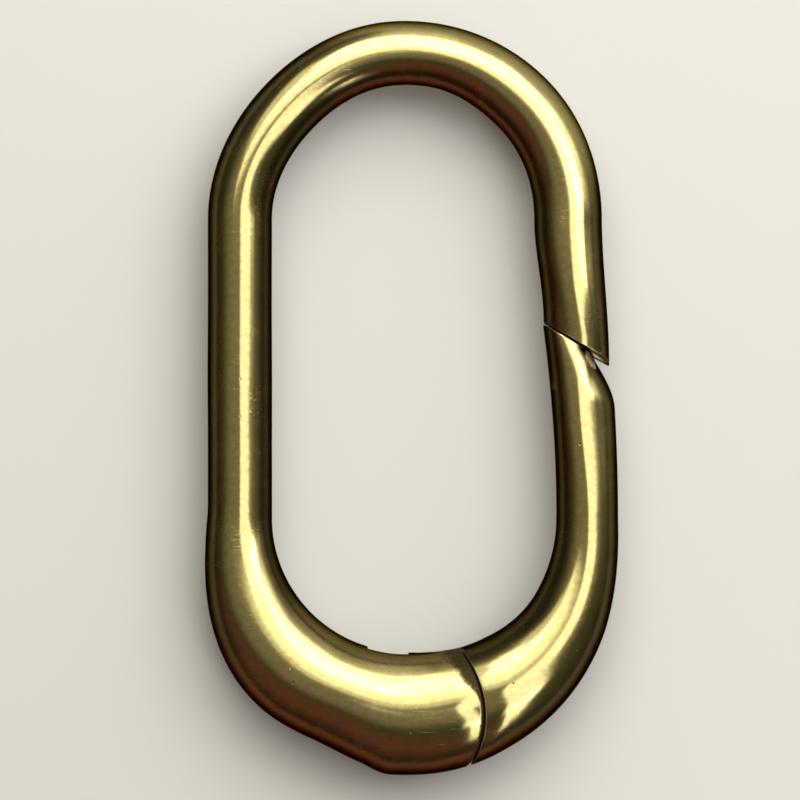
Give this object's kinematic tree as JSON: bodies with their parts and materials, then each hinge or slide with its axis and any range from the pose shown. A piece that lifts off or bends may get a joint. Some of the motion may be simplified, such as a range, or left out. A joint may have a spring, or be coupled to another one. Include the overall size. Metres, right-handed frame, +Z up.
{
  "type": "oval spring gate ring",
  "caption": "Oval ring of round bar with a thick hinge end, closed by a curved sprung gate that swings inwards to take on a key, strap or cord.",
  "frame": {"origin": "middle of the underside as the ring lies flat, centred on its length and its width", "axes": "+Y along the ring from its hinge end to its plain bow, +X towards the gate's side, +Z up out of the ring's plane on the face without the pin's end"},
  "size_m": [0.0308, 0.0562, 0.0074],
  "materials": {
    "gold_plate": "polished gold plate over copper on a casting",
    "gold_plate_gate": "polished gold plate over copper on a casting",
    "plated_pin": "gold-plated pin end, ground flush",
    "spring_steel": "bright drawn spring wire"
  },
  "bodies": {
    "ring": {"ring_body": "gold_plate", "hinge_pin": "plated_pin", "gate_spring": "spring_steel"},
    "gate": {"gate": "gold_plate_gate"}
  },
  "joints": [
    {"name": "gate_hinge", "type": "hinge", "parent": "ring", "child": "gate", "pos_m": [-0.00206, -0.02358, 0.0037], "axis": [0, 0, 1], "range_deg": [0, 35], "stiffness_Nm_per_rad": 0.018, "springref_deg": -42.97, "deforming": ["gate_spring"]}
  ]
}
